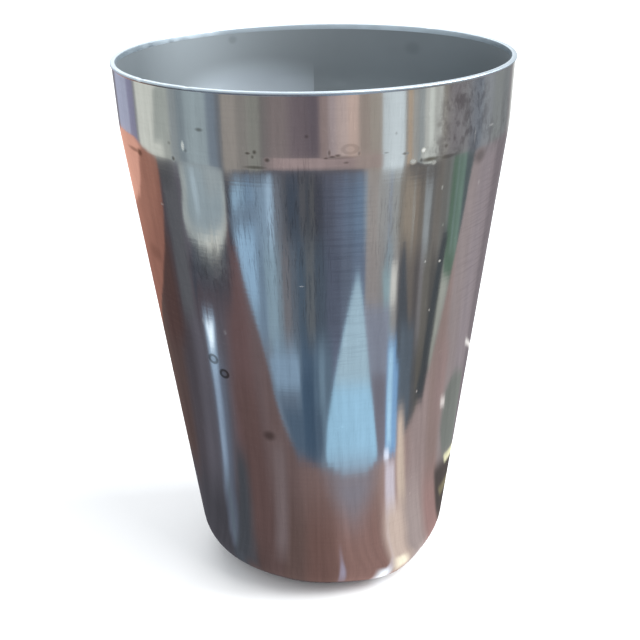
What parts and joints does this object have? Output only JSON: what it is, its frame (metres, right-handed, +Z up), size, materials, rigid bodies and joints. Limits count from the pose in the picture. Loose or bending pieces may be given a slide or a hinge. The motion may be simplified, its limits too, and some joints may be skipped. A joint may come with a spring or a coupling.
{
  "type": "deep drawn metal cup",
  "caption": "Tall tapered steel cup drawn from one sheet: rounded base corner, soft shoulder and near-straight band below a trimmed lip, open at the top.",
  "frame": {"origin": "centre of the plane that the cup stands on, on its axis", "axes": "+Z up along the cup's axis towards its open mouth, -Y towards the front"},
  "size_m": [0.09, 0.09, 0.125],
  "materials": {
    "drawn_steel": "polished and lightly scratched outside with fine lines round the axis, dull grey drawn finish inside, bright rounded lip"
  },
  "bodies": {
    "root": {"drawn_cup": "drawn_steel"}
  },
  "joints": []
}
